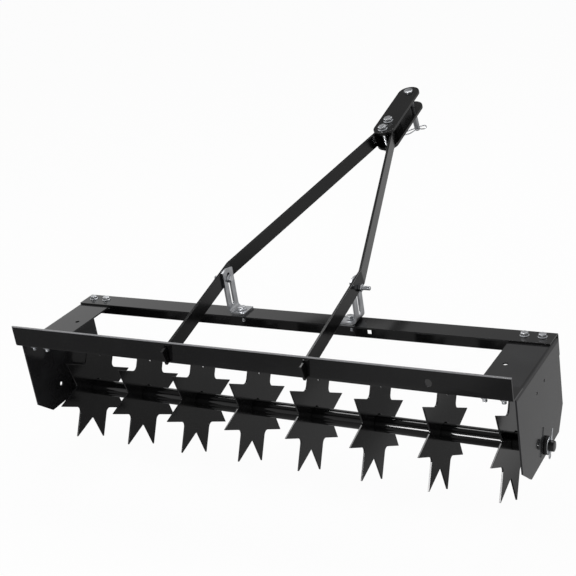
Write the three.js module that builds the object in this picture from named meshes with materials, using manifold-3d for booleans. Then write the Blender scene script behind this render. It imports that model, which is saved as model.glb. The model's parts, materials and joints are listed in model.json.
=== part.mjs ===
// Tow behind spike aerator, in millimetres. X runs along the axle, Y points forward to the
// hitch and Z points up. The frame stands level, as it does behind a tractor.
import * as THREE from 'three';
import Module from 'manifold-3d';
import { mergeVertices } from 'three/addons/utils/BufferGeometryUtils.js';

const wasm = await Module();
wasm.setup();

// Clearances that all pieces share
const gap = 0.3; // between pieces that seat on each other
const boltPlay = 0.5; // round a bolt in its hole
const shaftPlay = 0.4; // round the axle in the stars and the spacer tubes
const overrun = 8; // by which a cut passes the faces it cuts
const weld = 0.001; // points closer than this are one point

// How finely curves are cut, in sides and steps
const roundSides = 22;
const holeSides = 10;
const boltSides = 12;
const washerSides = 18;
const wireSides = 6;
const arcStep = 3; // along a rounded corner
const arcSteps = 6; // at most, in one corner

// Folded frame
const frameWidth = 1016;
const sheet = 3;
const treadWidth = 45.5;
const wallHeight = 43;
const barFold = 4.5;
const rearOverhang = 14.5; // rear crossbar's wall, behind the end plates
const frontOverhang = 14; // front crossbar's wall, ahead of the end plates
const frontBarShort = 4; // by which each end of the front crossbar stays inside the frame
const spareHoleRadius = 7;
const spareHoleX = 367;
const spareHoleHeight = 19;
const squareHole = 9;
const squareHoleDrop = 31; // below the tread's top

// End plates
const plateDepth = 218.5;
const flangeWidth = 78;
const plateFold = 6;
const axleForward = 118; // axle ahead of the plates' rear edges
const axleDrop = 153; // axle below the crossbars
const axleEdge = 18; // from the axle to the plates' lowest edge
const plateDrop = axleDrop + axleEdge;
const plateOutlineShares = [[0, 0], [0, 0.813], [0.17, 1], [0.86, 0.977], [1, 0.746], [1, 0]];
const smallHoleRadius = 2.8;
const smallHoleShares = [[0.609, 0.222], [0.43, 0.24]];
const largeHoleRadius = 4.3;
const largeHoleShares = [0.357, 0.766];

// Bolts: shank, head and nut sizes of the two threads used
const m8 = { shank: 8, across: 13, head: 5.3, nut: 6.5, washer: 16.6, washerThick: 1.4, bevel: 0.9 };
const m10 = { shank: 10, across: 17, head: 6.4, nut: 8, washer: 21, washerThick: 2, bevel: 1.1 };
const frameBoltLength = 20;
const footBoltLength = 25;
const braceBoltLength = 32;
const hitchBoltLength = 60;
const outerBoltInset = 24; // from the frame's side
const innerBoltInset = 56;

// Star wheels
const starCount = 8;
const armCount = 4;
const starThick = 3.2;
const tipRadius = 112.5;
const notchRadius = 62; // from the axle to the bottom of a fork
const notchFillet = 5;
const armFillet = 10;
const tipFillet = 0.5;
const starTurn = THREE.MathUtils.degToRad(-29.1);

// Axle and what sits on it
const axleRadius = 9.5;
const axleEnd = 7; // from the cotter pins' centres to the axle's ends
const axleBevel = 1;
const tubeRadius = 15.75;
const endPlay = 0.6; // between the end tubes and the end plates
const endTubeLength = 51.4;
const bushingWall = 2.4;
const bushingFlangeRadius = 16.25;
const bushingFlange = 4.5;
const washerRadius = 16;
const washerThick = 1.6;
const cotterWire = 0.95;
const cotterSplit = 0.1; // between the cotter pin's legs
const cotterRise = 29.7; // legs' ends above the axle's centre
const cotterFall = 22.6; // eye's end below it
const cotterEye = 3.7;
const cotterNeckShare = 0.5;
const cotterSteps = 28;

// Drawbars, seen from above: straight, then converging, then side by side at the hitch
const barThick = 5;
const barHeight = 30;
const drawbarX = 142.5;
const stubReach = 10.5; // drawbars' rear ends, behind the rear crossbar
const rearBend = 22; // both bends from the brace bolts, along the drawbars
const frontBend = 531;
const barNose = 29; // drawbars' front ends, ahead of the front bends
const bendRadius = 8;
const slotPlay = 1.2;
const slotSide = 0.75;
const pivotHeight = 20; // drawbars' centre line in the rear crossbar's slots
const boltBelow = 6.7; // brace bolt's hole below the drawbars' centre line

// Braces
const braceThick = 4;
const braceWidth = 35;
const braceFold = 8;
const braceFoot = 36.5;
const footBoltInset = 21.7;
const braceBoltHeight = 72;
const braceTravel = 50; // the bolts' way down the braces' slots
const braceSpare = 8; // their way up
const braceEnd = 9; // from the slot's upper end to the brace's top
const braceArch = 4; // of the brace's top over its corners

// Hitch
const hitchOverlap = 54.6; // hitch plates' rear ends, behind the drawbars' front bends
const hitchLength = 193;
const hitchWidth = 48;
const hitchThick = 6.4;
const rearBoltInset = 16; // from the hitch plates' rear ends
const hitchBoltPitch = 33;
const pinInset = 22; // from the hitch plates' tips
const pinRadius = 6.25;
const pinLength = 99;
const pinHeadRadius = 10;
const pinHead = 4.5;
const pinBevel = 1.5;
const clipWire = 1.5;
const clipRise = 6; // from the pin's lower end to the clip
const clipReach = 48; // straight leg beyond the pin
const clipLoop = 8;
const clipNeck = 11; // from the pin to the loop's centre
const clipTurn = THREE.MathUtils.degToRad(-140);
const clipWaveShares = [[-0.02, 0], [0.14, 0], [0.34, 0.55], [0.55, 0.8], [0.74, 0.3], [0.88, 0.15], [1, 0.4]];
const clipSteps = 44;

// Places worked out from the sizes above
const halfFrame = frameWidth / 2;
const treadMiddle = treadWidth / 2;
const rearFace = -rearOverhang;
const frontFace = plateDepth + frontOverhang;
const rearBoltY = rearFace + treadMiddle;
const frontBoltY = frontFace - treadMiddle;
const plateTop = -gap;
const frameBolts = [halfFrame - innerBoltInset, halfFrame - outerBoltInset];
const braceOuter = drawbarX - barThick / 2 - gap;
const footBoltX = braceOuter - footBoltInset;
const braceBottom = sheet + gap;
const pivotRun = frontBoltY - rearFace - sheet / 2;
const pivotRise = braceBoltHeight - pivotHeight;
const pitch = Math.atan2(pivotRise, pivotRun) + Math.asin(boltBelow / Math.hypot(pivotRun, pivotRise));
const plateLift = barHeight / 2 + gap + hitchThick / 2; // hitch plates from the centre line
const barEnd = frontBend + barNose;
const hitchStart = frontBend - hitchOverlap;
const hitchEnd = hitchStart + hitchLength;
const rearHitchBolt = hitchStart + rearBoltInset;
const pinY = hitchEnd - pinInset;
const hitchBolts = { rear: rearHitchBolt, front: rearHitchBolt + hitchBoltPitch };
const hitchHalf = m10.shank / 2 + gap + barThick / 2; // drawbars' centres beside the hitch bolts
const bushingRadius = axleRadius + gap + bushingWall;
const washerX = halfFrame + gap + bushingFlange + gap;
const cotterX = washerX + washerThick + gap + cotterWire;
const axleLength = 2 * (cotterX + axleEnd);
const outerStar = halfFrame - sheet - endPlay - endTubeLength - gap - starThick / 2;
const starPitch = (2 * outerStar) / (starCount - 1);
const braceSlotTop = braceBoltHeight + braceSpare + m8.shank / 2 + boltPlay;

const black = { color: 0x17181a, roughness: 0.35, metalness: 0.4, flatShading: true };
const zinc = { color: 0xc9ccd0, roughness: 0.3, metalness: 0.9, flatShading: true };
const plastic = { color: 0x101112, roughness: 0.6, metalness: 0, flatShading: true };

// Six times the volume that the faces enclose, negative when they point inwards
function sixfoldVolume(points, faces) {
  const corner = (k) => new THREE.Vector3().fromArray(points, 3 * faces[k]);
  let sum = 0;
  for (let k = 0; k < faces.length; k += 3) {
    sum += corner(k).dot(corner(k + 1).cross(corner(k + 2)));
  }
  return sum;
}

function solid(geometry) {
  geometry.deleteAttribute('normal');
  geometry.deleteAttribute('uv');
  const merged = mergeVertices(geometry, weld);
  const points = merged.attributes.position.array;
  const index = merged.index.array;
  const faces = [];
  for (let k = 0; k < index.length; k += 3) {
    const [a, b, c] = index.slice(k, k + 3);
    if (a !== b && b !== c && c !== a) faces.push(a, b, c);
  }
  if (sixfoldVolume(points, faces) < 0) faces.reverse();
  const mesh = new wasm.Mesh({
    numProp: 3,
    vertProperties: Float32Array.from(points),
    triVerts: Uint32Array.from(faces),
  });
  return new wasm.Manifold(mesh);
}

function piece(name, body, look) {
  const data = body.getMesh();
  const geometry = new THREE.BufferGeometry();
  geometry.setAttribute('position', new THREE.BufferAttribute(Float32Array.from(data.vertProperties), 3));
  geometry.setIndex(new THREE.BufferAttribute(Uint32Array.from(data.triVerts), 1));
  geometry.computeVertexNormals();
  const mesh = new THREE.Mesh(geometry, new THREE.MeshStandardMaterial(look));
  mesh.name = name;
  return mesh;
}

// A closed outline from corners given as [across, up, radius], each corner rounded by its radius
function outline(corners) {
  const points = [];
  corners.forEach(([across, up, radius = 0], k) => {
    const corner = new THREE.Vector2(across, up);
    const back = new THREE.Vector2(...corners.at(k - 1)).sub(corner).normalize();
    const next = new THREE.Vector2(...corners[(k + 1) % corners.length]).sub(corner).normalize();
    if (radius === 0) {
      points.push(corner);
      return;
    }
    const half = Math.acos(back.dot(next)) / 2;
    const centre = back.clone().add(next).normalize().multiplyScalar(radius / Math.sin(half)).add(corner);
    const first = back.multiplyScalar(radius / Math.tan(half)).add(corner).sub(centre);
    const last = next.multiplyScalar(radius / Math.tan(half)).add(corner).sub(centre);
    const sweep = Math.atan2(first.cross(last), first.dot(last));
    const steps = Math.min(arcSteps, Math.max(1, Math.round((Math.abs(sweep) * radius) / arcStep)));
    for (let step = 0; step <= steps; step += 1) {
      points.push(first.clone().rotateAround(new THREE.Vector2(), (sweep * step) / steps).add(centre));
    }
  });
  return new THREE.Shape(points);
}

// The corners of a strip of even width along a bent centre line
function strip(path, width, radius) {
  const half = width / 2;
  const points = path.map(([across, up]) => new THREE.Vector2(across, up));
  const runs = points.slice(1).map((point, k) => point.clone().sub(points[k]).normalize());
  const left = [];
  const right = [];
  points.forEach((point, k) => {
    const before = runs[Math.max(k - 1, 0)];
    const after = runs[Math.min(k, runs.length - 1)];
    const turn = before.cross(after);
    const scale = half / (1 + before.dot(after));
    const side = new THREE.Vector2(-before.y - after.y, before.x + after.x).multiplyScalar(scale);
    const bent = Math.abs(turn) > Number.EPSILON;
    const inside = bent ? radius : 0;
    const outside = bent ? radius + width : 0;
    left.push([point.x + side.x, point.y + side.y, turn > 0 ? inside : outside]);
    right.unshift([point.x - side.x, point.y - side.y, turn > 0 ? outside : inside]);
  });
  return [...right, ...left];
}

function ring(radius, sides) {
  const points = [];
  for (let k = 0; k < sides; k += 1) {
    const angle = (2 * Math.PI * k) / sides;
    points.push(new THREE.Vector2(radius * Math.cos(angle), radius * Math.sin(angle)));
  }
  return new THREE.Shape(points);
}

const along = {
  x: new THREE.Matrix4().set(0, 0, 1, 0, 1, 0, 0, 0, 0, 1, 0, 0, 0, 0, 0, 1),
  y: new THREE.Matrix4().set(1, 0, 0, 0, 0, 0, 1, 0, 0, 1, 0, 0, 0, 0, 0, 1),
  z: new THREE.Matrix4(),
};

// An outline pushed along an axis between two places on it
function prism(shape, axis, from, to) {
  const low = Math.min(from, to);
  const geometry = new THREE.ExtrudeGeometry(shape, { depth: Math.abs(to - from), bevelEnabled: false });
  geometry.translate(0, 0, low);
  geometry.applyMatrix4(along[axis]);
  return solid(geometry);
}

// A round bar along an axis, centred on a place in its cross plane
function rod(axis, radius, from, to, across, up, sides = holeSides) {
  const shape = ring(radius, sides);
  const geometry = new THREE.ExtrudeGeometry(shape, { depth: Math.abs(to - from), bevelEnabled: false });
  geometry.translate(across, up, Math.min(from, to));
  geometry.applyMatrix4(along[axis]);
  return solid(geometry);
}

// A turned body about Z, from [radius, height] pairs
function turned(profile, sides) {
  const points = profile.map(([radius, height]) => new THREE.Vector2(radius, height));
  return solid(new THREE.LatheGeometry(points, sides).rotateX(Math.PI / 2));
}

// A ring turned about Z, whose profile closes on itself
function turnedRing(profile, sides) {
  return turned([...profile, profile[0]], sides);
}

// A round wire along a curve
function wire(curve, radius, steps) {
  const options = { steps, extrudePath: curve, bevelEnabled: false };
  return solid(new THREE.ExtrudeGeometry(ring(radius, wireSides), options));
}

function obround(middle, length, width) {
  const [across, up] = middle;
  const half = width / 2;
  const reach = (length - width) / 2;
  const shape = new THREE.Shape();
  shape.absarc(across, up + reach, half, 0, Math.PI, false);
  shape.absarc(across, up - reach, half, Math.PI, 2 * Math.PI, false);
  return new THREE.Shape(shape.getPoints(2 * arcSteps).slice(0, -1));
}

// A strap's side view: square below, and arched above its upper corners
function archedTop(width, corner, rise) {
  const half = width / 2;
  const points = [new THREE.Vector2(-half, -overrun), new THREE.Vector2(half, -overrun)];
  for (let step = 0; step <= arcSteps; step += 1) {
    const share = 1 - (2 * step) / arcSteps;
    points.push(new THREE.Vector2(share * half, corner + rise * (1 - share * share)));
  }
  return new THREE.Shape(points);
}

// A hex from its seat at one height to its end at another, with the end's corners bevelled
function hex(size, seat, end) {
  const corner = size.across / Math.sqrt(3);
  const body = prism(ring(corner, 6), 'z', seat, end);
  const bevelStart = end - Math.sign(end - seat) * size.bevel;
  const profile = [[0, seat], [corner, seat], [corner, bevelStart], [corner - size.bevel, end], [0, end]];
  return body.intersect(turned(profile, boltSides));
}

// A hex bolt along Z: its head's seat at zero, its shank below
function bolt(size, length) {
  const radius = size.shank / 2;
  const washer = size.washer / 2;
  const shank = turned([
    [0, size.head / 2],
    [radius, size.head / 2],
    [radius, size.bevel - length],
    [radius - size.bevel, -length],
    [0, -length],
  ], boltSides);
  const seat = turned([[0, 0], [washer, 0], [washer, size.washerThick], [0, size.washerThick]], washerSides);
  return hex(size, size.washerThick / 2, size.washerThick + size.head).add(seat).add(shank);
}

// A nut below its seat at zero
function nut(size) {
  const bore = rod('z', size.shank / 2 + gap, -size.nut - overrun, overrun, 0, 0, boltSides);
  return hex(size, 0, -size.nut).subtract(bore);
}

// The crossbars' angle: a tread along Y and a wall along Z from the same corner
function angleBar(length, boltX) {
  const half = length / 2;
  const section = outline([
    [0, 0, barFold],
    [treadWidth, 0],
    [treadWidth, sheet],
    [sheet, sheet, barFold - sheet],
    [sheet, wallHeight],
    [0, wallHeight],
  ]);
  let bar = prism(section, 'x', -half, half);
  for (const x of boltX) {
    for (const side of [-1, 1]) {
      const hole = rod('z', m8.shank / 2 + boltPlay, -overrun, sheet + overrun, side * x, treadMiddle);
      bar = bar.subtract(hole);
    }
  }
  return bar;
}

function rearCrossbar() {
  let bar = angleBar(frameWidth, frameBolts);
  const halfSlot = barHeight / 2 / Math.cos(pitch) + (sheet / 2) * Math.tan(pitch) + slotPlay;
  const halfWidth = barThick / 2 + slotSide;
  for (const side of [-1, 1]) {
    const slot = outline([
      [side * drawbarX - halfWidth, pivotHeight - halfSlot],
      [side * drawbarX + halfWidth, pivotHeight - halfSlot],
      [side * drawbarX + halfWidth, pivotHeight + halfSlot],
      [side * drawbarX - halfWidth, pivotHeight + halfSlot],
    ]);
    bar = bar.subtract(prism(slot, 'y', -overrun, barFold));
  }
  const spare = rod('y', spareHoleRadius, -overrun, sheet + overrun, spareHoleX, spareHoleHeight);
  const mesh = piece('rear_crossbar', bar.subtract(spare), black);
  mesh.position.set(0, rearFace, 0);
  return mesh;
}

function frontCrossbar() {
  const bar = angleBar(frameWidth - 2 * frontBarShort, [...frameBolts, footBoltX]);
  const half = squareHole / 2;
  const square = outline([
    [drawbarX - half, squareHoleDrop - half],
    [drawbarX + half, squareHoleDrop - half],
    [drawbarX + half, squareHoleDrop + half],
    [drawbarX - half, squareHoleDrop + half],
  ]);
  const mesh = piece('front_crossbar', bar.subtract(prism(square, 'y', -overrun, sheet + overrun)), black);
  mesh.rotation.x = Math.PI;
  mesh.position.set(0, frontFace, sheet);
  return mesh;
}

function endPlate(side) {
  const outer = side * halfFrame;
  const inner = side * (halfFrame - sheet);
  const edge = side * (halfFrame - flangeWidth);
  const section = outline([
    [outer, plateTop, plateFold],
    [outer, -plateDrop - overrun],
    [inner, -plateDrop - overrun],
    [inner, plateTop - sheet, plateFold - sheet],
    [edge, plateTop - sheet],
    [edge, plateTop],
  ]);
  const folded = prism(section, 'y', 0, plateDepth);
  const sideView = outline(plateOutlineShares.map(([y, z]) => [y * plateDepth, plateTop - z * plateDrop]));
  let plate = folded.intersect(prism(sideView, 'x', edge - side * overrun, outer + side * overrun));
  const cuts = [[axleForward, -axleDrop, bushingRadius + gap]];
  for (const [y, z] of smallHoleShares) cuts.push([y * plateDepth, -z * plateDrop, smallHoleRadius]);
  const [largeY, largeZ] = largeHoleShares;
  cuts.push([largeY * plateDepth, -largeZ * plateDrop, largeHoleRadius]);
  for (const [y, z, radius] of cuts) {
    plate = plate.subtract(rod('x', radius, inner - side * overrun, outer + side * overrun, y, z, roundSides));
  }
  for (const x of frameBolts) {
    for (const y of [rearBoltY, frontBoltY]) {
      const top = plateTop + overrun;
      plate = plate.subtract(rod('z', m8.shank / 2 + boltPlay, -sheet - overrun, top, side * x, y));
    }
  }
  const spare = rod('z', m8.shank / 2 + boltPlay, -sheet - overrun, overrun, side * frameBolts[0], plateDepth / 2);
  return plate.subtract(spare);
}

// A star wheel: arms forked into two spikes, the eight tips evenly spaced on one circle
function star() {
  const halfArm = tipRadius * Math.sin(Math.PI / 8);
  const tipReach = tipRadius * Math.cos(Math.PI / 8);
  const corners = [];
  for (let arm = 0; arm < armCount; arm += 1) {
    const angle = (arm * Math.PI) / 2;
    const turn = ([across, up, radius]) => {
      const point = new THREE.Vector2(across, up).rotateAround(new THREE.Vector2(), angle);
      return [point.x, point.y, radius];
    };
    corners.push(turn([halfArm, tipReach, tipFillet]));
    corners.push(turn([0, notchRadius, notchFillet]));
    corners.push(turn([-halfArm, tipReach, tipFillet]));
    corners.push(turn([-halfArm, halfArm, armFillet]));
  }
  const half = starThick / 2;
  const blank = prism(outline(corners), 'x', -half, half);
  return blank.subtract(rod('x', axleRadius + shaftPlay, -overrun, overrun, 0, 0, roundSides));
}

function tube(length) {
  const half = length / 2;
  const outside = rod('x', tubeRadius, -half, half, 0, 0, roundSides);
  return outside.subtract(rod('x', axleRadius + shaftPlay, -half - overrun, half + overrun, 0, 0, roundSides));
}

function axle() {
  const half = axleLength / 2;
  let bar = turned([
    [0, -half],
    [axleRadius - axleBevel, -half],
    [axleRadius, axleBevel - half],
    [axleRadius, half - axleBevel],
    [axleRadius - axleBevel, half],
    [0, half],
  ], roundSides);
  const hole = 2 * cotterWire + cotterSplit + gap;
  for (const side of [-1, 1]) {
    bar = bar.subtract(rod('x', hole, -axleRadius - overrun, axleRadius + overrun, 0, side * cotterX));
  }
  const mesh = piece('axle', bar, black);
  mesh.rotation.y = Math.PI / 2;
  return mesh;
}

function bushing() {
  const bore = axleRadius + gap;
  return turnedRing([
    [bore, -sheet],
    [bushingRadius, -sheet],
    [bushingRadius, gap],
    [bushingFlangeRadius, gap],
    [bushingFlangeRadius, gap + bushingFlange],
    [bore, gap + bushingFlange],
  ], roundSides);
}

// A split pin in the YZ plane: two legs up, a round eye below
function cotter() {
  const leg = cotterWire + cotterSplit / 2;
  const eyeMiddle = cotterWire + cotterEye - cotterFall;
  const neck = eyeMiddle + cotterEye * 2;
  const half = [
    [leg, cotterRise],
    [leg, neck + cotterEye],
    [leg, neck],
    [leg + (cotterEye - leg) * cotterNeckShare, eyeMiddle + cotterEye],
    [cotterEye, eyeMiddle],
  ];
  const back = half.map(([y, z]) => [-y, z]).reverse();
  const points = [...half, [0, eyeMiddle - cotterEye], ...back];
  const curve = new THREE.CatmullRomCurve3(points.map(([y, z]) => new THREE.Vector3(0, y, z)));
  return wire(curve, cotterWire, cotterSteps);
}

function drawbar(side) {
  const rearEnd = (rearFace - stubReach - frontBoltY) / Math.cos(pitch);
  const path = [
    [side * drawbarX, rearEnd],
    [side * drawbarX, rearBend],
    [side * hitchHalf, frontBend],
    [side * hitchHalf, barEnd],
  ];
  const low = boltBelow - barHeight / 2;
  const bar = prism(outline(strip(path, barThick, bendRadius)), 'z', low, low + barHeight);
  const from = side * (drawbarX - barThick);
  const hole = rod('x', m8.shank / 2 + boltPlay, from, side * (drawbarX + barThick), 0, 0);
  return bar.subtract(hole);
}

function brace(side) {
  const middle = braceOuter - braceThick / 2;
  const foot = braceBottom + braceThick / 2;
  const top = braceSlotTop + braceEnd;
  const path = [
    [side * (braceOuter - braceFoot), foot],
    [side * middle, foot],
    [side * middle, top],
  ];
  const half = braceWidth / 2;
  const strap = prism(outline(strip(path, braceThick, braceFold)), 'y', -half, half);
  const inside = side * (braceOuter - braceFoot - overrun);
  const outside = side * (braceOuter + overrun);
  const slotWidth = m8.shank + 2 * boltPlay;
  const slotLength = braceTravel + braceSpare + slotWidth;
  const slotShape = obround([0, braceSlotTop - slotLength / 2], slotLength, slotWidth);
  const slot = prism(slotShape, 'x', side * (middle - overrun), outside);
  const hole = rod('z', m8.shank / 2 + boltPlay, 0, braceBottom + overrun, side * footBoltX, 0);
  const sideView = prism(archedTop(braceWidth, top - braceArch, braceArch), 'x', inside, outside);
  return strap.intersect(sideView).subtract(slot).subtract(hole);
}

function hitchPlate() {
  const half = hitchThick / 2;
  const middle = [0, (hitchStart + hitchEnd) / 2];
  let plate = prism(obround(middle, hitchLength, hitchWidth), 'z', -half, half);
  for (const y of Object.values(hitchBolts)) {
    plate = plate.subtract(rod('z', m10.shank / 2 + boltPlay, -overrun, overrun, 0, y));
  }
  return plate.subtract(rod('z', pinRadius + shaftPlay, -overrun, overrun, 0, pinY, roundSides));
}

// The hitch pin: head's seat at zero, with the clip's hole across its lower end
function pin() {
  const body = turned([
    [0, pinHead],
    [pinHeadRadius - pinBevel, pinHead],
    [pinHeadRadius, pinHead - pinBevel],
    [pinHeadRadius, 0],
    [pinRadius, 0],
    [pinRadius, pinBevel - pinLength],
    [pinRadius - pinBevel, -pinLength],
    [0, -pinLength],
  ], roundSides);
  const cut = new THREE.CylinderGeometry(clipWire + gap, clipWire + gap, 2 * (pinRadius + overrun), wireSides * 2);
  cut.rotateZ(Math.PI / 2).rotateZ(clipTurn).translate(0, 0, clipRise - pinLength);
  return body.subtract(solid(cut));
}

// The hairpin clip in the XY plane: a straight leg along X, a round loop and a waved leg
function clip() {
  const near = pinRadius + clipWire + gap + shaftPlay;
  const wave = clipLoop - clipWire;
  const points = [[clipReach, 0], [clipReach / 2, 0], [0, 0], [-clipNeck, 0]];
  for (const angle of [-1, 0, 1]) {
    const lean = (angle * Math.PI) / 4;
    points.push([-clipNeck - clipLoop * Math.cos(lean), clipLoop + clipLoop * Math.sin(lean)]);
  }
  points.push([-clipNeck, 2 * clipLoop]);
  for (const [x, y] of clipWaveShares) points.push([x * clipReach, near + y * wave]);
  const curve = new THREE.CatmullRomCurve3(points.map(([x, y]) => new THREE.Vector3(x, y, 0)));
  return wire(curve, clipWire, clipSteps);
}

const frame = new THREE.Group();
const axleSet = new THREE.Group();
const drawbarSet = new THREE.Group();
axleSet.position.set(0, axleForward, -axleDrop);
axleSet.rotation.x = starTurn;
drawbarSet.position.set(0, frontBoltY, braceBoltHeight);
drawbarSet.rotation.x = pitch;

function add(group, name, body, look, x = 0, y = 0, z = 0) {
  const mesh = piece(name, body, look);
  mesh.position.set(x, y, z);
  group.add(mesh);
  return mesh;
}

frame.add(rearCrossbar(), frontCrossbar());
const sides = { left: -1, right: 1 };
const boltSeat = sheet + gap;
const frameGrip = 2 * sheet + 3 * gap;
const frameNut = hex(m8, -frameGrip, -frameGrip - m8.nut);
const frameBolt = bolt(m8, frameBoltLength).add(frameNut);
const footBolt = bolt(m8, footBoltLength);
const braceBolt = bolt(m8, braceBoltLength);

for (const [label, side] of Object.entries(sides)) {
  add(frame, `end_plate_${label}`, endPlate(side), black);
  for (const [row, y] of Object.entries({ rear: rearBoltY, front: frontBoltY })) {
    for (const [place, x] of Object.entries({ inner: frameBolts[0], outer: frameBolts[1] })) {
      add(frame, `frame_bolt_${row}_${label}_${place}`, frameBolt, zinc, side * x, y, boltSeat);
    }
  }
  add(frame, `brace_${label}`, brace(side), zinc, 0, frontBoltY, 0);
  const footX = side * footBoltX;
  const footSeat = braceBottom + braceThick + gap;
  add(frame, `brace_foot_bolt_${label}`, footBolt, zinc, footX, frontBoltY, footSeat);
  add(frame, `brace_foot_nut_${label}`, nut(m8), zinc, footX, frontBoltY, -gap);
  const headX = side * (braceOuter - braceThick - gap);
  const nutX = side * (drawbarX + barThick / 2 + gap);
  const head = add(frame, `brace_bolt_${label}`, braceBolt, zinc, headX, frontBoltY, braceBoltHeight);
  const end = add(frame, `brace_nut_${label}`, nut(m8), zinc, nutX, frontBoltY, braceBoltHeight);
  head.rotation.y = (-side * Math.PI) / 2;
  end.rotation.y = head.rotation.y;

  const sleeve = add(frame, `axle_bushing_${label}`, bushing(), plastic, side * halfFrame, axleForward, -axleDrop);
  sleeve.rotation.y = (side * Math.PI) / 2;
  const washer = rod('x', washerRadius, 0, washerThick, 0, 0, roundSides);
  const washerBore = rod('x', axleRadius + shaftPlay, -overrun, overrun, 0, 0, roundSides);
  const disc = add(axleSet, `axle_washer_${label}`, washer.subtract(washerBore), zinc, side * washerX);
  disc.rotation.y = side > 0 ? 0 : Math.PI;
  add(axleSet, `cotter_pin_${label}`, cotter(), zinc, side * cotterX);
  add(drawbarSet, `drawbar_${label}`, drawbar(side), black);
}

axleSet.add(axle());
const starBlank = star();
for (let k = 0; k < starCount; k += 1) {
  add(axleSet, `star_wheel_${k + 1}`, starBlank, black, k * starPitch - outerStar);
}
const tubeBetween = tube(starPitch - starThick - 2 * gap);
const endTubeStart = outerStar + starThick / 2 + gap;
const endTube = tube(endTubeLength);
const endTubeX = endTubeStart + endTubeLength / 2;
add(axleSet, 'spacer_tube_1', endTube, black, -endTubeX);
for (let k = 1; k < starCount; k += 1) {
  add(axleSet, `spacer_tube_${k + 1}`, tubeBetween, black, (k - starCount / 2) * starPitch);
}
add(axleSet, `spacer_tube_${starCount + 1}`, endTube, black, endTubeX);

for (const [label, level] of Object.entries({ upper: plateLift, lower: -plateLift })) {
  add(drawbarSet, `hitch_plate_${label}`, hitchPlate(), black, 0, 0, boltBelow + level);
}
const hitchSeat = plateLift + hitchThick / 2 + gap;
for (const [label, y] of Object.entries(hitchBolts)) {
  add(drawbarSet, `hitch_bolt_${label}`, bolt(m10, hitchBoltLength), zinc, 0, y, boltBelow + hitchSeat);
  add(drawbarSet, `hitch_nut_${label}`, nut(m10), zinc, 0, y, boltBelow - hitchSeat);
}
add(drawbarSet, 'hitch_pin', pin(), zinc, 0, pinY, boltBelow + hitchSeat);
const clipZ = boltBelow + hitchSeat + clipRise - pinLength;
const hairpin = add(drawbarSet, 'hairpin_clip', clip(), zinc, 0, pinY, clipZ);
hairpin.rotation.z = clipTurn;

const aerator = new THREE.Group();
aerator.add(frame, axleSet, drawbarSet);
aerator.updateMatrixWorld(true);
const box = new THREE.Box3().setFromObject(aerator, true);
const middle = box.getCenter(new THREE.Vector3());
aerator.position.set(-middle.x, -middle.y, -box.min.z);
aerator.updateMatrixWorld(true);

export default aerator;
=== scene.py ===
import json
import math
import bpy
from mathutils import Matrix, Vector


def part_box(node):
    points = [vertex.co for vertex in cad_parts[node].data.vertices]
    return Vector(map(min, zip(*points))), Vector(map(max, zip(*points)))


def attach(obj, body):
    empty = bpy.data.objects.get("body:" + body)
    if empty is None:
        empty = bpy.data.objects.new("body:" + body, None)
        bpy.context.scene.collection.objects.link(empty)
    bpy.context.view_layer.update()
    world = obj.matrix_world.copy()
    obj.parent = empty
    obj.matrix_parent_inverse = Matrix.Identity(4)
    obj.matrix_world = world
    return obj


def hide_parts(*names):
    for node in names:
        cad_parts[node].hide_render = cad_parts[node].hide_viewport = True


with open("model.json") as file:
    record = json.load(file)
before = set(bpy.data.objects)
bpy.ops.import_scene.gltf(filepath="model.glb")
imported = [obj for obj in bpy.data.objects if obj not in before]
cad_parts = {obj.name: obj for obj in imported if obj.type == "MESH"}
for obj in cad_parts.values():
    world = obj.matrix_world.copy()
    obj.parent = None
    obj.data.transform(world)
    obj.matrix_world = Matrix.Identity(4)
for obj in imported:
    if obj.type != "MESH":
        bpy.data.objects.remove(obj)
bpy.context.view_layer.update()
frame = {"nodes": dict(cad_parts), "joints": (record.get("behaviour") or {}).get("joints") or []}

from types import SimpleNamespace

import bpy
from mathutils import Matrix, Vector

# Places and directions in metres: X to the machine's right, Y ahead to the hitch, Z up
JOINTS = {joint["name"]: joint for joint in frame["joints"]}
AXLE = Vector(JOINTS["axle_spin"]["pos_m"])
BRACE_BOLT = Vector(JOINTS["drawbar_tilt"]["pos_m"])
BAR_UP = Vector(JOINTS["hitch_pin_lift"]["axis"]).normalized()
BAR_AHEAD = Vector((0, BAR_UP.z, -BAR_UP.y))
REAR_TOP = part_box("rear_crossbar")[1].z

# Sides, stars and tubes
SIDES = (("left", -1), ("right", 1))
STAR_NUMBERS = range(1, 9)
TUBE_NUMBERS = range(1, 10)

# A size in millimetres times MM is in metres. All the sizes below are in millimetres
MM = 0.001

# Rounded edges of sheet and bar
SHEET_EDGE = 0.9
CROSSBAR_EDGE = 1.1
HITCH_EDGE = 1.2
STAR_EDGE = 0.6
HEX_EDGE = 0.25

# Axle and what sits on it. An edge is turned off by so much across and so much along
SEAT_GAP = 0.3
HALF_FRAME = 508
AXLE_RADIUS = 9.5
AXLE_HALF = 522.9
AXLE_END = [(1.2, 0), (0.4, 0.3), (0, 1.0), (0, 9.9)]  # in from the radius and from the end
TUBE = SimpleNamespace(bore=9.9, radius=15.75, edge=(0.6, 0.6))
WASHER = SimpleNamespace(bore=9.9, radius=16, thick=1.6, edge=(0.4, 0.35))
BUSHING = SimpleNamespace(bore=9.8, body=12.2, flange=16.25, depth=3, face=4.8, lip=1.4, dish=0.6)
BUSHING_INNER_EDGE = (0.75, 0.6)
BUSHING_OUTER_EDGE = (0.55, 0.8)

# Cotter pins: the legs' top and middle above the axle's centre, and the rest below it
STAR_TURN = math.radians(-29.1)
COTTER = SimpleNamespace(
    wire=0.95, leg=1.0, eye=3.7, top=29.7, middle=12, neck=7.3, shoulder=13.3, eye_drop=17.95)

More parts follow.
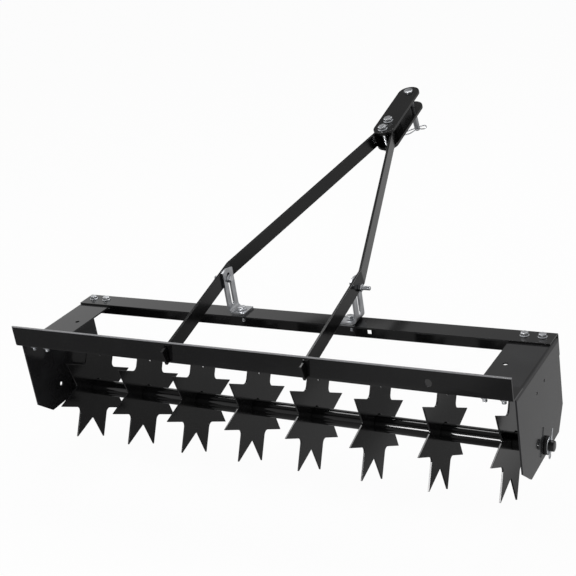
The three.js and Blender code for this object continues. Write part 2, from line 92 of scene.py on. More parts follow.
# Bolts and nuts of two threads
M8 = SimpleNamespace(
    shank=8, across=13, head=5.3, nut=6.5, flange=16.6, flange_thick=1.4, bevel=0.9, pitch=1.25)
M10 = SimpleNamespace(
    shank=10, across=17, head=6.4, nut=8, flange=21, flange_thick=2, bevel=1.1, pitch=1.5)
M8_TOP = M8.flange_thick + M8.head
FLANGE_LOWER_EDGE = (0.3, 0.3)
FLANGE_UPPER_EDGE = (0.5, 0.4)
SHANK_END = [(1.0, 0), (0.5, 0.25)]  # in from the radius and up from the end
THREAD_FROM_END = 0.8
THREAD_BELOW_SEAT = 2.4
CREST_SHARE = 0.12
ROOT_SHARE = 0.56
ROOT_DEPTH_SHARE = 0.54
NUT_CLEARANCE = 0.3
OVERRUN = 1
FRAME_BOLT_LENGTH = 20
FOOT_BOLT_LENGTH = 25
BRACE_BOLT_LENGTH = 32
HITCH_BOLT_LENGTH = 60
FRAME_NUT_DROP = 6.9  # from a frame bolt's seat to its nut's
HEX_TURNS = {"rear": 92, "front": 115}  # degrees that the frame bolts' heads are turned
HEX_SWING = 17
FOOT_TURN = 0.3  # radians

# Drawbars and hitch. Places run along the drawbars from the brace bolts
BAR_MIDDLE = 6.7  # drawbars' centre line above the brace bolts
HITCH_SEAT = 22  # bolts' and pin's seats, from that line
HITCH_BOLTS_AHEAD = {"rear": 492.4, "front": 525.4}
PIN_AHEAD = 647.4
PIN_RADIUS = 6.25
PIN_LENGTH = 99
PIN_END = [(1.5, 0), (0.45, 0.8), (0, 1.8), (0, 17)]  # in from the radius and up from the end
PIN_HEAD_RADIUS = 10
PIN_HEAD = [(0.5, 0), (0, 0.4), (0, 3.2), (0.5, 4.05), (1.4, 4.4)]  # in from its radius and up

# Hairpin clip. Its waved leg starts near the straight one and swings out by the wave
CLIP_TURN = math.radians(-140)
CLIP_DROP = 93  # from the pin's seat
CLIP_HOLE = SimpleNamespace(radius=1.8, half=14)
CLIP = SimpleNamespace(wire=1.35, reach=48, neck=11, loop=8, near=8.45, wave=6.5)
CLIP_WAVE_SHARES = [(-0.02, 0), (0.14, 0), (0.34, 0.55), (0.55, 0.8), (0.74, 0.3), (0.88, 0.15), (1, 0.4)]

# Weld beads between stars and tubes
WELD_RADIUS = 3.2
WELD_FLOOR = 0.8  # what is cut off below its middle
WELD_SHARES = (0.7, 1.5, 0.8)
WELD_FROM_STAR = 1.2
WELD_FROM_AXLE = 16.2
WELD_TURN = math.radians(-50)

# How finely round shapes are cut
SLEEVE_SIDES = 56
PIN_SIDES = 48
FLANGE_SIDES = 40
SHANK_SIDES = 32
HOLE_SIDES = 24
HEX_SIDES = 6

# Colours
COAT_DARK = (0.0045, 0.0045, 0.0048)
COAT_DUSTY = (0.0065, 0.0066, 0.007)
# Painted highlight: a pale band for the light caught on the rear crossbar's rounded top edge
PAINTED_EDGE_HIGHLIGHT = (0.25, 0.25, 0.26)
ZINC_DULL = (0.4, 0.41, 0.43)
ZINC_BRIGHT = (0.64, 0.65, 0.665)
PLASTIC_DARK = (0.008, 0.008, 0.009)
PLASTIC_PALE = (0.016, 0.016, 0.017)
WELD_DARK = (0.006, 0.006, 0.006)
WELD_PALE = (0.014, 0.013, 0.012)
WHITE = (1, 1, 1, 1)

# Stretch of a pattern: even, or with its marks drawn out along Z
EVEN = (1, 1, 1)
ALONG = (1, 1, 0.08)


# Shader nodes
class Number:
    """A number that changes over a surface. Sums on it add Math nodes."""

    def __init__(self, nodes, socket):
        self.nodes = nodes
        self.socket = socket

    def math(self, operation, *values):
        node = self.nodes.node("ShaderNodeMath", {"operation": operation}, dict(enumerate(values)))
        return Number(self.nodes, node.outputs[0])

    def __add__(self, other):
        return self.math("ADD", self, other)

    def __sub__(self, other):
        return self.math("SUBTRACT", self, other)

    def __rsub__(self, other):
        return self.math("SUBTRACT", other, self)

    def __mul__(self, other):
        return self.math("MULTIPLY", self, other)

    def rising(self, low, high):
        """From 0 at low to 1 at high, with soft ends."""
        settings = {"interpolation_type": "SMOOTHSTEP"}
        sockets = {"Value": self, "From Min": low, "From Max": high}
        return Number(self.nodes, self.nodes.node("ShaderNodeMapRange", settings, sockets).outputs[0])

    __radd__ = __add__
    __rmul__ = __mul__


class Nodes:
    """A node tree that takes new nodes."""

    def __init__(self, tree):
        self.tree = tree

    def node(self, kind, settings=None, sockets=None):
        node = self.tree.nodes.new(kind)
        for name, value in (settings or {}).items():
            setattr(node, name, value)
        self.fill(node, sockets or {})
        return node

    def fill(self, node, sockets):
        for name, value in sockets.items():
            if isinstance(value, Number):
                value = value.socket
            if isinstance(value, bpy.types.NodeSocket):
                self.tree.links.new(value, node.inputs[name])
            else:
                node.inputs[name].default_value = value


class Finish(Nodes):
    """One material, with its surface and the places on it."""

    def __init__(self, name, **surface):
        self.material = bpy.data.materials.new(name)
        self.material.use_nodes = True
        super().__init__(self.material.node_tree)
        self.surface = self.tree.nodes["Principled BSDF"]
        self.set(surface)
        self.place = self.node("ShaderNodeTexCoord").outputs["Object"]

    def set(self, surface):
        self.fill(self.surface, {name.replace("_", " "): value for name, value in surface.items()})

    def noise(self, scale, detail, stretch=EVEN):
        moved = self.node("ShaderNodeVectorMath", {"operation": "MULTIPLY"}, {0: self.place, 1: stretch})
        sockets = {"Vector": moved.outputs[0], "Scale": scale, "Detail": detail}
        return Number(self, self.node("ShaderNodeTexNoise", None, sockets).outputs[0])

    def axis(self, letter):
        parts = self.node("ShaderNodeSeparateXYZ", None, {0: self.place})
        return Number(self, parts.outputs[letter])

    def colour(self, low, high, mask):
        """From the low colour to the high one. The low one can be another mix."""
        low = low if isinstance(low, bpy.types.NodeSocket) else (*low, 1)
        sockets = {0: mask, 6: low, 7: (*high, 1)}
        return self.node("ShaderNodeMix", {"data_type": "RGBA"}, sockets).outputs[2]

    def bumps(self, *heights):
        """Bumps one over another, each from a height of 0 to 1 and its depth in metres."""
        normal = None
        for height, depth in heights:
            sockets = {"Height": height, "Distance": depth, "Strength": 1.0}
            if normal:
                sockets["Normal"] = normal
            normal = self.node("ShaderNodeBump", None, sockets).outputs[0]
        self.set({"Normal": normal})


# Finishes
def shaded(colour, shade):
    return [part * shade for part in colour]


def powder_coat(name, shade, roughness, waves, shine=0.5, highlight_above=None):
    """Black powder coat: a fine orange peel, slow waves in the sheet and a little dust. Above the height
    given by the last argument, in metres, a pale band is painted on as a highlight."""
    fade = 1.2 * MM
    orange_peel = 0.01 * MM
    dusty = (0.42, 0.8)
    dust_roughness = 0.06
    finish = Finish(name, IOR=1.5, Specular_IOR_Level=shine)
    dust = finish.noise(scale=14, detail=5).rising(*dusty)
    colour = finish.colour(shaded(COAT_DARK, shade), shaded(COAT_DUSTY, shade), dust)
    # Painted highlight: above the given height the coat's colour turns pale
    if highlight_above:
        colour = finish.colour(colour, PAINTED_EDGE_HIGHLIGHT, finish.axis("Z").rising(highlight_above, highlight_above + fade))
    finish.set({"Base_Color": colour, "Roughness": dust * dust_roughness + roughness})
    slow, fine = finish.noise(scale=5, detail=2), finish.noise(scale=420, detail=2)
    finish.bumps((slow, waves), (fine, orange_peel))
    return finish.material


def zinc_plate(name, stretch, shade, roughness):
    """Bright zinc: cloudy patches and fine rolling marks along the metal."""
    cloud_share = 0.6
    mark_depth = 0.03 * MM
    mark_roughness = 0.2
    finish = Finish(name, Metallic=1.0)
    cloud = finish.noise(scale=55, detail=4)
    marks = finish.noise(scale=260, detail=4, stretch=stretch)
    mix = cloud * cloud_share + marks * (1 - cloud_share)
    colour = finish.colour(shaded(ZINC_DULL, shade), shaded(ZINC_BRIGHT, shade), mix.rising(0.3, 0.7))
    finish.set({"Base_Color": colour, "Roughness": mix * mark_roughness + roughness})
    finish.bumps((marks, mark_depth))
    return finish.material


def bushing_plastic():
    """Black plastic with a fine grain."""
    grain_depth = 0.04 * MM
    grain_roughness = 0.15
    roughness = 0.38
    finish = Finish("bushing_plastic", IOR=1.48, Specular_IOR_Level=0.4)
    grain = finish.noise(scale=900, detail=3)
    colour = finish.colour(PLASTIC_DARK, PLASTIC_PALE, finish.noise(scale=60, detail=3))
    finish.set({"Base_Color": colour, "Roughness": grain * grain_roughness + roughness})
    finish.bumps((grain, grain_depth))
    return finish.material


def weld_steel():
    """A rippled weld bead under the black coat."""
    ripple_depth = 0.2 * MM
    ripple_roughness = 0.2
    roughness = 0.2
    finish = Finish("weld_bead", IOR=1.5, Specular_IOR_Level=0.35)
    ripples = finish.noise(scale=700, detail=3)
    colour = finish.colour(WELD_DARK, WELD_PALE, ripples)
    finish.set({"Base_Color": colour, "Roughness": ripples * ripple_roughness + roughness})
    finish.bumps((ripples, ripple_depth))
    return finish.material


# Painted highlight: the pale band on the rear crossbar starts this far below its top
HIGHLIGHT_BAND_FROM = REAR_TOP - 2.3 * MM
SHEET_COAT = powder_coat("powder_coat_sheet", shade=1.0, roughness=0.11, waves=0.5 * MM)
REAR_COAT_HIGHLIGHTED = powder_coat("powder_coat_rear_painted_highlight", shade=1.0, roughness=0.11, waves=0.5 * MM, highlight_above=HIGHLIGHT_BAND_FROM)
# Painted light: the end plates' base is lightened well above the other sheet's, to brighten their shaded
# inner faces
PLATE_COAT = powder_coat("powder_coat_plates", shade=3.8, roughness=0.11, waves=0.5 * MM, shine=0.46)
STAR_COAT = powder_coat("powder_coat_stars", shade=1.0, roughness=0.15, waves=0.4 * MM)
# Painted shade: the drawbars and hitch plates get a darker base than the other sheet, to dim them
BAR_COAT = powder_coat("powder_coat_bars", shade=0.7, roughness=0.15, waves=0.3 * MM, shine=0.42)
TUBE_COAT = powder_coat("powder_coat_tubes", shade=0.5, roughness=0.06, waves=0.1 * MM)
BRACE_ZINC = zinc_plate("zinc_braces", ALONG, shade=1.0, roughness=0.2)
# Painted highlight: the fasteners' and clip's zinc is lightened above the braces'
BOLT_ZINC = zinc_plate("zinc_fasteners", EVEN, shade=1.25, roughness=0.14)
# Painted shade: the pin's zinc is darkened below the braces'
PIN_ZINC = zinc_plate("zinc_pin", ALONG, shade=0.8, roughness=0.2)
PLASTIC = bushing_plastic()
WELD = weld_steel()


# Modelling
def only(piece):
    """Selects this piece alone and makes it the active one."""
    bpy.ops.object.select_all(action="DESELECT")
    piece.select_set(True)
    bpy.context.view_layer.objects.active = piece


def merged(piece):
    """Joins the piece's doubled points and turns its faces outwards."""
    only(piece)
    bpy.ops.object.mode_set(mode="EDIT")
    bpy.ops.mesh.select_all(action="SELECT")
    bpy.ops.mesh.remove_doubles(threshold=0.01 * MM)
    bpy.ops.mesh.normals_make_consistent(inside=False)
    bpy.ops.object.mode_set(mode="OBJECT")


def smooth(piece, angle=35):
    """Shades the piece smooth, but for edges sharper than the angle, in degrees."""
    only(piece)
    bpy.ops.object.shade_smooth_by_angle(angle=math.radians(angle))
    return piece


def softened(piece, width, segments, angle):
    """Rounds the piece's sharp edges and keeps its flats flat."""
    smooth(piece, angle)
    bevel = piece.modifiers.new("edges", "BEVEL")
    bevel.width = width * MM
    bevel.segments = segments
    bevel.limit_method = "ANGLE"
    bevel.angle_limit = math.radians(angle)
    bpy.ops.object.modifier_apply(modifier=bevel.name)
    smooth(piece, angle + 8)
    weigh = piece.modifiers.new("flats", "WEIGHTED_NORMAL")
    weigh.keep_sharp = True
    bpy.ops.object.modifier_apply(modifier=weigh.name)
    return piece


def bored(piece, drill):
    """Cuts the drill's shape out of the piece and takes the drill away."""
    cut = piece.modifiers.new("bore", "BOOLEAN")
    cut.object = drill
    cut.solver = "EXACT"
    only(piece)
    bpy.ops.object.modifier_apply(modifier=cut.name)
    bpy.data.objects.remove(drill)
    merged(piece)


def turned(name, rings, sides, hollow=False):
    """A body turned about Z: rings of [radius, height], from the first to the last. A hollow one closes
    its last ring on its first."""
    radius, height = rings[0]
    fill = "NOTHING" if hollow else "NGON"
    bpy.ops.object.select_all(action="DESELECT")
    bpy.ops.mesh.primitive_circle_add(vertices=sides, radius=radius * MM, fill_type=fill, location=(0, 0, 0))
    piece = bpy.context.active_object
    piece.name = name
    bpy.ops.object.mode_set(mode="EDIT")
    bpy.ops.mesh.select_all(action="SELECT")
    bpy.ops.transform.translate(value=(0, 0, height * MM))
    path = [*rings[1:], rings[0]] if hollow else rings[1:]
    for wide, high in path:
        rise = (0, 0, (high - height) * MM)
        bpy.ops.mesh.extrude_region_move(TRANSFORM_OT_translate={"value": rise})
        scale = wide / radius
        bpy.ops.transform.resize(value=(scale, scale, 1), center_override=(0, 0, 0))
        radius, height = wide, high
    bpy.ops.object.mode_set(mode="OBJECT")
    merged(piece)
    return piece


def sleeve(name, shape, low, high):
    """A ring or tube with its outer edges turned off."""
    across, along = shape.edge
    return smooth(turned(name, [
        [shape.bore, low], [shape.radius - across, low], [shape.radius, low + along],
        [shape.radius, high - along], [shape.radius - across, high], [shape.bore, high],
    ], SLEEVE_SIDES, hollow=True))


def bent_wire(name, points, radius, roundness, steps):
    """A round wire bent through its points, as a mesh."""
    curve = bpy.data.curves.new(name, "CURVE")
    curve.dimensions = "3D"
    curve.bevel_depth = radius * MM
    curve.bevel_resolution = roundness
    curve.resolution_u = steps
    curve.use_fill_caps = True
    line = curve.splines.new("BEZIER")
    line.bezier_points.add(len(points) - 1)
    for spot, place in zip(line.bezier_points, points):
        spot.co = [part * MM for part in place]
        spot.handle_left_type = "AUTO"
        spot.handle_right_type = "AUTO"
    wire = bpy.data.objects.new(name, curve)
    bpy.context.scene.collection.objects.link(wire)
    only(wire)
    bpy.ops.object.convert(target="MESH")
    piece = bpy.context.active_object
    merged(piece)
    return smooth(piece, angle=50)


def joined(name, *parts):
    bpy.ops.object.select_all(action="DESELECT")
    for part in parts:
        part.select_set(True)
    bpy.context.view_layer.objects.active = parts[0]
    bpy.ops.object.join()
    parts[0].name = name
    return parts[0]


def copy_at(master, name, place):
    piece = master.copy()
    piece.data = master.data.copy()
    piece.data.transform(place)
    piece.name = name
    bpy.context.scene.collection.objects.link(piece)
    return piece


# Places and dressing
def along_x(side=1):
    """Turns Z to +X, or to -X for side -1."""
    return Matrix.Rotation(side * math.pi / 2, 4, "Y")


def on_axle(x):
    return Matrix.Translation((x, AXLE.y, AXLE.z))


def middle_of(node):
    low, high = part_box(node)
    return (low + high) / 2


def below_top(node, drop=0):
    """On the upright middle line of a node, a drop below its top."""
    middle = middle_of(node)
    return Matrix.Translation((middle.x, middle.y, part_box(node)[1].z - drop * MM))


def on_brace_bolt(node, side, inset=0):
    """On the brace bolts' line, an inset from a node's inner end, and facing inwards."""
    low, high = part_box(node)
    inner = low.x if side > 0 else high.x
    return Matrix.Translation((inner + side * inset * MM, BRACE_BOLT.y, BRACE_BOLT.z)) @ along_x(-side)


def on_drawbar(ahead, above):
    """Midway between the drawbars, ahead of the brace bolts, above the drawbars' centre line, and turned
    with them."""
    place = BRACE_BOLT + BAR_AHEAD * ahead * MM + BAR_UP * (BAR_MIDDLE + above) * MM
    place.x = 0
    turn = Matrix((Vector((1, 0, 0)), BAR_AHEAD, BAR_UP)).transposed().to_4x4()
    return Matrix.Translation(place) @ turn


def shown(piece, body, material, node=None):
    """Gives a finished piece its material and its body, and hides the node that it stands for."""
    piece.data.materials.clear()
    piece.data.materials.append(material)
    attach(piece, body)
    if node:
        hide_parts(node)


def finer(node, width, body, material):
    """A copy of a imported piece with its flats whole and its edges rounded."""
    piece = frame["nodes"][node].copy()
    piece.data = frame["nodes"][node].data.copy()
    piece.parent = None
    for key in list(piece.keys()):
        del piece[key]
    piece.name = node + "_shown"
    bpy.context.scene.collection.objects.link(piece)
    merged(piece)
    bpy.ops.object.mode_set(mode="EDIT")
    bpy.ops.mesh.select_all(action="SELECT")
    bpy.ops.mesh.dissolve_limited(angle_limit=math.radians(0.6))
    bpy.ops.object.mode_set(mode="OBJECT")
    softened(piece, width, segments=3, angle=32)
    shown(piece, body, material, node)


def zinc_copy(master, node, body, place):
    """A zinc plated copy of a master, in place of a node."""
    shown(copy_at(master, node + "_shown", place), body, BOLT_ZINC, node)


# Folded sheet, bars and stars
def sheet_and_bar():
    for label, _ in SIDES:
        finer(f"end_plate_{label}", SHEET_EDGE, "frame", PLATE_COAT)
        finer(f"brace_{label}", SHEET_EDGE, "frame", BRACE_ZINC)
        finer(f"drawbar_{label}", SHEET_EDGE, "drawbar", BAR_COAT)
    for label in ("upper", "lower"):
        finer(f"hitch_plate_{label}", HITCH_EDGE, "drawbar", BAR_COAT)
    for label, coat in (("rear", REAR_COAT_HIGHLIGHTED), ("front", SHEET_COAT)):
        finer(f"{label}_crossbar", CROSSBAR_EDGE, "frame", coat)
    for number in STAR_NUMBERS:
        finer(f"star_wheel_{number}", STAR_EDGE, "star_axle", STAR_COAT)


# Axle and what sits on it
def spacer_tubes():
    for number in TUBE_NUMBERS:
        name = f"spacer_tube_{number}"
        low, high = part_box(name)
        half = (high.x - low.x) / 2 / MM
        tube = sleeve(name + "_shown", TUBE, -half, half)
        tube.data.transform(on_axle((low.x + high.x) / 2) @ along_x())
        shown(tube, "star_axle", TUBE_COAT, name)


def axle():
    end = [[AXLE_RADIUS - inwards, AXLE_HALF - back] for inwards, back in AXLE_END]
    rings = [[radius, -height] for radius, height in end] + end[::-1]
    piece = smooth(turned("axle_shown", rings, SLEEVE_SIDES))
    piece.data.transform(Matrix.Translation(AXLE) @ along_x())
    shown(piece, "star_axle", TUBE_COAT, "axle")


def bushing_master():
    """A body in the plate's hole and a flange outside it, whose face is dished round the bore."""
    size = BUSHING
    back_across, back_along = BUSHING_INNER_EDGE
    face_across, face_along = BUSHING_OUTER_EDGE
    return smooth(turned("bushing_master", [
        [size.bore, -size.depth], [size.body, -size.depth], [size.body, SEAT_GAP],
        [size.flange - back_across, SEAT_GAP], [size.flange, SEAT_GAP + back_along],
        [size.flange, size.face - face_along], [size.flange - face_across, size.face],
        [size.bore + size.lip, size.face], [size.bore + size.lip - size.dish, size.face - size.dish],
        [size.bore, size.face - size.dish],
    ], SLEEVE_SIDES, hollow=True))


def cotter_master():
    """A split pin: two legs up through the axle and a round eye below it, along Z."""
    size = COTTER
    half = [(size.leg, size.top), (size.leg, size.middle), (size.leg, -size.neck),
            ((size.leg + size.eye) / 2, -size.shoulder), (size.eye, -size.eye_drop)]
    points = [*half, (0, -size.eye_drop - size.eye), *[(-y, z) for y, z in reversed(half)]]
    return bent_wire("cotter_master", [(0, y, z) for y, z in points], size.wire, roundness=4, steps=8)


def axle_ends():
    bushing = bushing_master()
    washer = sleeve("washer_master", WASHER, 0, WASHER.thick)
    cotter = cotter_master()
    for label, side in SIDES:
        place = on_axle(side * HALF_FRAME * MM) @ along_x(side)
        shown(copy_at(bushing, f"axle_bushing_{label}_shown", place), "frame",
              PLASTIC, f"axle_bushing_{label}")
        place = place @ Matrix.Translation((0, 0, (BUSHING.face + SEAT_GAP) * MM))
        zinc_copy(washer, f"axle_washer_{label}", "star_axle", place)
        node = f"cotter_pin_{label}"
        place = on_axle(middle_of(node).x) @ Matrix.Rotation(STAR_TURN, 4, "X")
        zinc_copy(cotter, node, "star_axle", place)
    for master in (bushing, washer, cotter):
        bpy.data.objects.remove(master)


# Bolts and nuts
def thread(radius, low, high, pitch):
    """Rings of a thread, from one height up to another."""
    rings = []
    count = int((high - low) / pitch)
    for turn in range(count):
        base = low + turn * pitch
        root = [radius - ROOT_DEPTH_SHARE * pitch, base + ROOT_SHARE * pitch]
        rings += [[radius, base], [radius, base + CREST_SHARE * pitch], root]
    return [*rings, [radius, low + count * pitch]]


def shank(size, length):
    radius = size.shank / 2
    rings = [[radius - inwards, -length + up] for inwards, up in SHANK_END]
    rings += thread(radius, -length + THREAD_FROM_END, -THREAD_BELOW_SEAT, size.pitch)
    return smooth(turned("shank", [*rings, [radius, size.head / 2]], SHANK_SIDES), angle=60)


def hexagon(name, size, seat, end):
    """A hex whose end has its corners turned off and a flat face inside them."""
    corner = size.across / math.sqrt(3)
    way = 1 if end > seat else -1
    rings = [[corner, seat], [corner, end - way * size.bevel], [corner - size.bevel, end]]
    body = turned(name, rings, HEX_SIDES)
    return softened(body, HEX_EDGE, segments=2, angle=20)


def hex_bolt(name, size, length):
    """A hex head with a flange that sits at zero, and a threaded shank below it."""
    top = hexagon("hex", size, size.flange_thick / 2, size.flange_thick + size.head)
    half = size.flange / 2
    lower_across, lower_along = FLANGE_LOWER_EDGE
    upper_across, upper_along = FLANGE_UPPER_EDGE
    flange = smooth(turned("flange", [
        [half - lower_across, 0], [half, lower_along],
        [half, size.flange_thick - upper_along], [half - upper_across, size.flange_thick],
    ], FLANGE_SIDES))
    return joined(name, top, flange, shank(size, length))


def hex_nut(name, size):
    """A nut below its seat at zero, with its bore and its turned-off corners."""
    inner = size.shank / 2 + NUT_CLEARANCE
    body = hexagon(name, size, 0, -size.nut)
    bored(body, turned("bore", [[inner, -size.nut - OVERRUN], [inner, OVERRUN]], SHANK_SIDES))
    return smooth(body, angle=30)


def frame_bolts(bolt, label, side):
    """The four bolts of one end plate, with their nuts."""
    for row, degrees in HEX_TURNS.items():
        turn = Matrix.Rotation(math.radians(degrees + HEX_SWING * side), 4, "Z")
        for end in ("inner", "outer"):
            node = f"frame_bolt_{row}_{label}_{end}"
            zinc_copy(bolt, node, "frame", below_top(node, M8_TOP) @ turn)


def brace_fasteners(foot_bolt, brace_bolt, nut, label, side):
    """The bolt at the foot of a brace and the one in its slot, with their nuts."""
    node = f"brace_foot_bolt_{label}"
    turn = Matrix.Rotation(FOOT_TURN * side, 4, "Z")
    zinc_copy(foot_bolt, node, "frame", below_top(node, M8_TOP) @ turn)
    node = f"brace_foot_nut_{label}"
    zinc_copy(nut, node, "frame", below_top(node))
    node = f"brace_bolt_{label}"
    zinc_copy(brace_bolt, node, "brace_bolts", on_brace_bolt(node, side, M8_TOP))
    node = f"brace_nut_{label}"
    zinc_copy(nut, node, "brace_bolts", on_brace_bolt(node, side))


def frame_fasteners():
    foot_bolt = hex_bolt("foot_bolt", M8, FOOT_BOLT_LENGTH)
    brace_bolt = hex_bolt("brace_bolt", M8, BRACE_BOLT_LENGTH)
    nut = hex_nut("m8_nut", M8)
    frame_nut = copy_at(nut, "frame_nut", Matrix.Translation((0, 0, -FRAME_NUT_DROP * MM)))
    frame_bolt = joined("frame_bolt", hex_bolt("frame_bolt", M8, FRAME_BOLT_LENGTH), frame_nut)
    for label, side in SIDES:
        frame_bolts(frame_bolt, label, side)
        brace_fasteners(foot_bolt, brace_bolt, nut, label, side)
    for master in (foot_bolt, brace_bolt, nut, frame_bolt):
        bpy.data.objects.remove(master)


def hitch_fasteners():
    bolt = hex_bolt("m10_bolt", M10, HITCH_BOLT_LENGTH)
    nut = hex_nut("m10_nut", M10)
    for label, ahead in HITCH_BOLTS_AHEAD.items():
        zinc_copy(bolt, f"hitch_bolt_{label}", "drawbar", on_drawbar(ahead, HITCH_SEAT))
        zinc_copy(nut, f"hitch_nut_{label}", "drawbar", on_drawbar(ahead, -HITCH_SEAT))
    for master in (bolt, nut):
        bpy.data.objects.remove(master)


# Hitch pin and clip
def hitch_pin():
    """The pin hangs from its head, which sits at zero, and the clip's hole runs through its lower end."""
    rings = [[PIN_RADIUS - inwards, -PIN_LENGTH + up] for inwards, up in PIN_END]
    rings += [[PIN_RADIUS, 0], *[[PIN_HEAD_RADIUS - inwards, up] for inwards, up in PIN_HEAD]]
    pin = turned("hitch_pin_shown", rings, PIN_SIDES)
    drill = turned("clip_hole", [
        [CLIP_HOLE.radius, -CLIP_HOLE.half], [CLIP_HOLE.radius, CLIP_HOLE.half]], HOLE_SIDES)
    hole = Matrix.Translation((0, 0, -CLIP_DROP * MM)) @ Matrix.Rotation(CLIP_TURN, 4, "Z")
    drill.data.transform(hole @ along_x())
    bored(pin, drill)
    pin.data.transform(on_drawbar(PIN_AHEAD, HITCH_SEAT))
    shown(smooth(pin), "pin", PIN_ZINC, "hitch_pin")


def hairpin_clip():
    """The clip's wire: a straight leg, a round loop and a waved leg."""
    size = CLIP
    points = [(size.reach, 0), (size.reach / 2, 0), (0, 0), (-size.neck, 0)]
    for lean in (-45, 0, 45):
        angle = math.radians(lean)
        points.append((-size.neck - size.loop * math.cos(angle), size.loop + size.loop * math.sin(angle)))
    points.append((-size.neck, 2 * size.loop))
    points += [(x * size.reach, size.near + y * size.wave) for x, y in CLIP_WAVE_SHARES]
    piece = bent_wire("hairpin_clip_shown", [(x, y, 0) for x, y in points], size.wire, roundness=5, steps=10)
    place = on_drawbar(PIN_AHEAD, HITCH_SEAT - CLIP_DROP)
    piece.data.transform(place @ Matrix.Rotation(CLIP_TURN, 4, "Z"))
    shown(piece, "clip", BOLT_ZINC, "hairpin_clip")


# Welds
def weld_beads():
    """A bead on each star, along the tube beside it."""
    bpy.ops.object.select_all(action="DESELECT")
    bpy.ops.mesh.primitive_ico_sphere_add(subdivisions=3, radius=WELD_RADIUS * MM)
    bead = bpy.context.active_object
    bead.name = "weld_master"
    bpy.ops.object.mode_set(mode="EDIT")
    bpy.ops.transform.resize(value=WELD_SHARES, center_override=(0, 0, 0))
    bpy.ops.mesh.bisect(
        plane_co=(0, 0, -WELD_FLOOR * MM), plane_no=(0, 0, 1), clear_inner=True, use_fill=True)
    bpy.ops.object.mode_set(mode="OBJECT")
    merged(bead)
    smooth(bead, angle=60)
    turn = Matrix.Rotation(WELD_TURN, 4, "X")
    rise = Matrix.Translation((0, 0, WELD_FROM_AXLE * MM))
    for number in STAR_NUMBERS:
        star_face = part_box(f"star_wheel_{number}")[1].x
        place = on_axle(star_face + WELD_FROM_STAR * MM) @ turn @ rise
        shown(copy_at(bead, f"weld_bead_{number}", place), "star_axle", WELD)
    bpy.data.objects.remove(bead)


# Floor, light and camera
def floor():
    """A plain pale floor, white to the camera. In the black coat's reflections it glows dimmer: palest in
    the open to the right and ahead, with painted shade under and behind the machine."""
    right_of_machine = (0.42, 0.56)
    ahead_of_machine = (0.1, 0.5)
    towards_middle = (-0.35, 0.15)
    towards_right = (0.2, 0.3)
    open_level = 0.46
    left_level = 0.17
    middle_gain = 0.15
    right_loss = 0.17
    glow_share = 0.96
    bpy.ops.object.select_all(action="DESELECT")
    bpy.ops.mesh.primitive_plane_add(size=60, location=(0, 0, 0))
    plane = bpy.context.active_object
    plane.name = "floor"
    finish = Finish("pale_floor", Base_Color=(0.86, 0.86, 0.86, 1), Roughness=0.8, Specular_IOR_Level=0.1)
    rays = finish.node("ShaderNodeLightPath")
    camera_ray = Number(finish, rays.outputs["Is Camera Ray"])
    glossy_ray = Number(finish, rays.outputs["Is Glossy Ray"])
    clear_ray = Number(finish, rays.outputs["Is Transmission Ray"])
    across, ahead = finish.axis("X"), finish.axis("Y")
    beyond = across.rising(*right_of_machine)
    open_floor = beyond.math("MAXIMUM", beyond, ahead.rising(*ahead_of_machine))
    middle, right = across.rising(*towards_middle), across.rising(*towards_right)
    # Painted shade: the floor's glow in reflections is lowered under and behind the machine, where its
    # shadow falls
    near = middle * middle_gain - right * right_loss + left_level
    painted_glow = near * (1 - open_floor) + open_floor * open_level
    level = camera_ray + painted_glow * (1 - camera_ray)
    glow = finish.node("ShaderNodeEmission", None, {"Color": WHITE, "Strength": level})
    seen = camera_ray + glossy_ray + clear_ray
    share = seen.math("MINIMUM", seen, 1.0) * glow_share
    sockets = {0: share, 1: finish.surface.outputs[0], 2: glow.outputs[0]}
    mix = finish.node("ShaderNodeMixShader", None, sockets)
    finish.fill(finish.tree.nodes["Material Output"], {"Surface": mix.outputs[0]})
    plane.data.materials.append(finish.material)


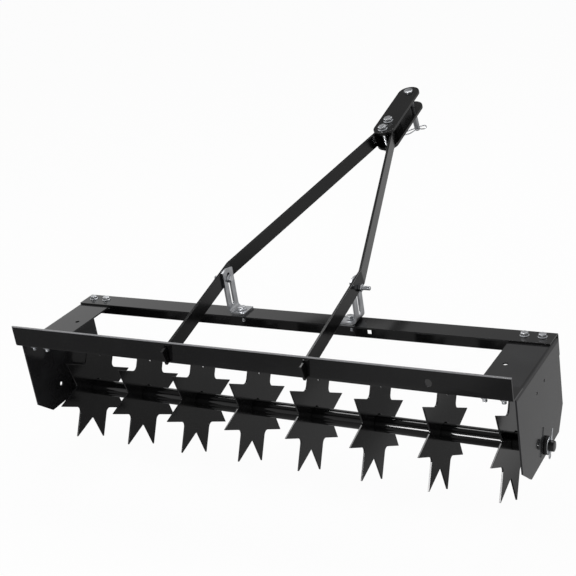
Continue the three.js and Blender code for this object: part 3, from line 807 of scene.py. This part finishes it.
def sky():
    """The studio round the machine, white to the camera. It lights the machine more from the left and the
    right than from between them, and least from overhead."""
    towards_left = (-0.3, -0.72)
    towards_right = (0.05, 0.6)
    towards_top = (0.43, 0.72)
    middle_level = 0.37
    left_gain = 0.5
    right_gain = 0.3
    overhead_level = 0.2
    world = bpy.data.worlds.new("studio")
    bpy.context.scene.world = world
    world.use_nodes = True
    nodes = Nodes(world.node_tree)
    way = nodes.node("ShaderNodeTexCoord").outputs["Generated"]
    parts = nodes.node("ShaderNodeSeparateXYZ", None, {0: way})
    across, upward = (Number(nodes, parts.outputs[letter]) for letter in "XZ")
    camera_ray = Number(nodes, nodes.node("ShaderNodeLightPath").outputs["Is Camera Ray"])
    left, right = across.rising(*towards_left), across.rising(*towards_right)
    sides = left * left_gain + right * right_gain + middle_level
    overhead = upward.rising(*towards_top)
    level = sides * (1 - overhead) + overhead * overhead_level
    strength = level * (1 - camera_ray) + camera_ray
    nodes.fill(world.node_tree.nodes["Background"], {"Color": WHITE, "Strength": strength})


def lamp(name, place, target, size, power):
    """A soft box that faces its target."""
    light = bpy.data.lights.new(name, "AREA")
    light.shape = "RECTANGLE"
    light.size, light.size_y = size
    light.energy = power
    holder = bpy.data.objects.new(name, light)
    bpy.context.scene.collection.objects.link(holder)
    holder.location = place
    aim = Vector(target) - Vector(place)
    holder.rotation_euler = aim.to_track_quat("-Z", "Y").to_euler()


def camera():
    """The photograph's view: from behind, to the right and above, leaning to the left."""
    azimuth, elevation, roll = math.radians(32.13), math.radians(22.32), math.radians(-9.26)
    from_axle = Vector((1.116, -1.695, 1.080))
    away = Vector((math.sin(azimuth) * math.cos(elevation), -math.cos(azimuth) * math.cos(elevation),
                   math.sin(elevation)))
    right = (-away).cross(Vector((0, 0, 1))).normalized()
    up = away.cross(right)
    across = right * math.cos(roll) + up * math.sin(roll)
    upward = up * math.cos(roll) - right * math.sin(roll)
    data = bpy.data.cameras.new("photo_view")
    data.lens = 75.603
    data.sensor_width = 36
    data.clip_end = 100
    holder = bpy.data.objects.new("photo_view", data)
    bpy.context.scene.collection.objects.link(holder)
    turn = Matrix((across, upward, away)).transposed().to_4x4()
    holder.matrix_world = Matrix.Translation(AXLE + from_axle) @ turn
    bpy.context.scene.camera = holder


sheet_and_bar()
spacer_tubes()
axle()
axle_ends()
frame_fasteners()
hitch_fasteners()
hitch_pin()
hairpin_clip()
weld_beads()
floor()
sky()
lamp("key_box", place=(-0.62, -2.95, 0.95), target=(0, -0.3, 0.1), size=(0.7, 0.6), power=30)
lamp("top_box", place=(-0.4, 0.9, 2.6), target=(0, -0.1, 0.1), size=(2.6, 0.7), power=30)
lamp("right_box", place=(2.6, 0.6, 1.2), target=(0.2, -0.2, 0.15), size=(1.2, 1.2), power=10)
camera()
bpy.context.scene.view_settings.view_transform = "Standard"
